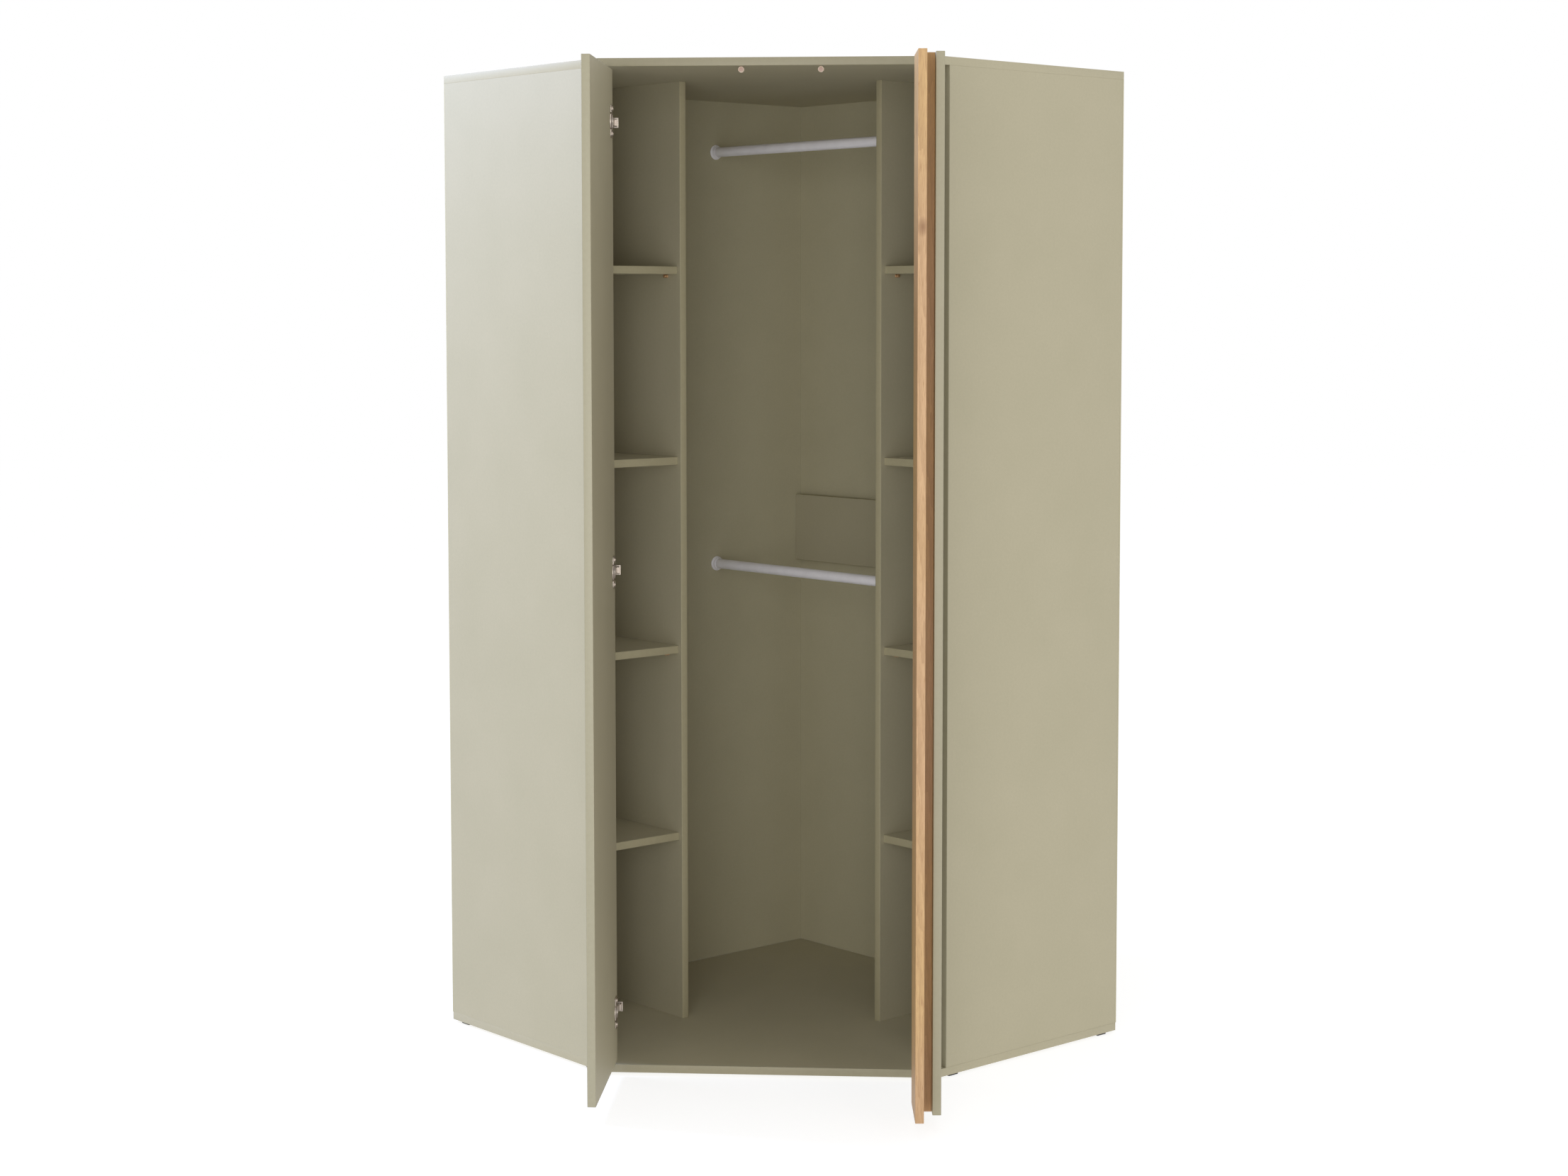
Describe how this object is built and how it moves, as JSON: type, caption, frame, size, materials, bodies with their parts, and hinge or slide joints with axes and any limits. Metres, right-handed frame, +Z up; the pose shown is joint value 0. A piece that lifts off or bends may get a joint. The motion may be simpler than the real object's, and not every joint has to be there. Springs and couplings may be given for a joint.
{
  "type": "corner wardrobe",
  "caption": "Two-door corner wardrobe: pentagon plan for a square room corner, shelved bays beside a central space with hanging rods, and an oak grip on one door.",
  "frame": {"origin": "on the floor, under the middle of the bounding box with both doors open", "axes": "+X to the right of someone facing the doors, +Y from the front towards the room corner, +Z up"},
  "size_m": [1.4064, 1.4538, 2],
  "materials": {
    "sage_board": "matt grey-green melamine on particle board",
    "back_board": "thin grey-green hardboard",
    "oak": "matt light oak",
    "chrome": "bright tube",
    "nickel": "satin nickel plate",
    "copper": "satin copper plate",
    "bumper": "soft matt",
    "black_glide": "matt black"
  },
  "bodies": {
    "carcass": {"top_panel": "sage_board", "base_panel": "sage_board", "left_side_panel": "sage_board", "left_partition": "sage_board", "left_back_board": "back_board", "left_shelf_1": "sage_board", "left_shelf_2": "sage_board", "left_shelf_3": "sage_board", "left_shelf_4": "sage_board", "left_side_pin_2": "copper", "left_partition_pin_2": "copper", "left_side_pin_4": "copper", "left_partition_pin_4": "copper", "left_top_hinge_plate": "nickel", "left_top_hinge_arm": "nickel", "left_bottom_hinge_plate": "nickel", "left_bottom_hinge_arm": "nickel", "left_middle_hinge_plate": "nickel", "left_middle_hinge_arm": "nickel", "front_left_foot": "black_glide", "rear_left_foot": "black_glide", "left_door_stop": "bumper", "right_side_panel": "sage_board", "right_partition": "sage_board", "right_back_board": "back_board", "right_shelf_1": "sage_board", "right_shelf_2": "sage_board", "right_shelf_3": "sage_board", "right_shelf_4": "sage_board", "right_side_pin_2": "copper", "right_partition_pin_2": "copper", "right_side_pin_4": "copper", "right_partition_pin_4": "copper", "right_top_hinge_plate": "nickel", "right_top_hinge_arm": "nickel", "right_bottom_hinge_plate": "nickel", "right_bottom_hinge_arm": "nickel", "right_middle_hinge_plate": "nickel", "right_middle_hinge_arm": "nickel", "front_right_foot": "black_glide", "rear_right_foot": "black_glide", "right_door_stop": "bumper", "back_rail": "sage_board", "corner_foot": "black_glide", "upper_rod": "chrome", "upper_rod_right_socket": "chrome", "upper_rod_left_socket": "chrome", "lower_rod": "chrome", "lower_rod_right_socket": "chrome", "lower_rod_left_socket": "chrome"},
    "left_door": {"left_door_panel": "sage_board", "left_top_hinge_cup": "nickel", "left_bottom_hinge_cup": "nickel", "left_middle_hinge_cup": "nickel"},
    "right_door": {"right_door_panel": "sage_board", "grip_spacer": "oak", "grip_strip": "oak", "right_top_hinge_cup": "nickel", "right_bottom_hinge_cup": "nickel", "right_middle_hinge_cup": "nickel"}
  },
  "joints": [
    {"name": "left_door_swing", "type": "hinge", "parent": "carcass", "child": "left_door", "pos_m": [-0.3255, -0.35505, 1], "axis": [0, 0, 1], "range_deg": [-20, 90]},
    {"name": "right_door_swing", "type": "hinge", "parent": "carcass", "child": "right_door", "pos_m": [0.3255, -0.35505, 1], "axis": [0, 0, -1], "range_deg": [-16, 94]}
  ]
}
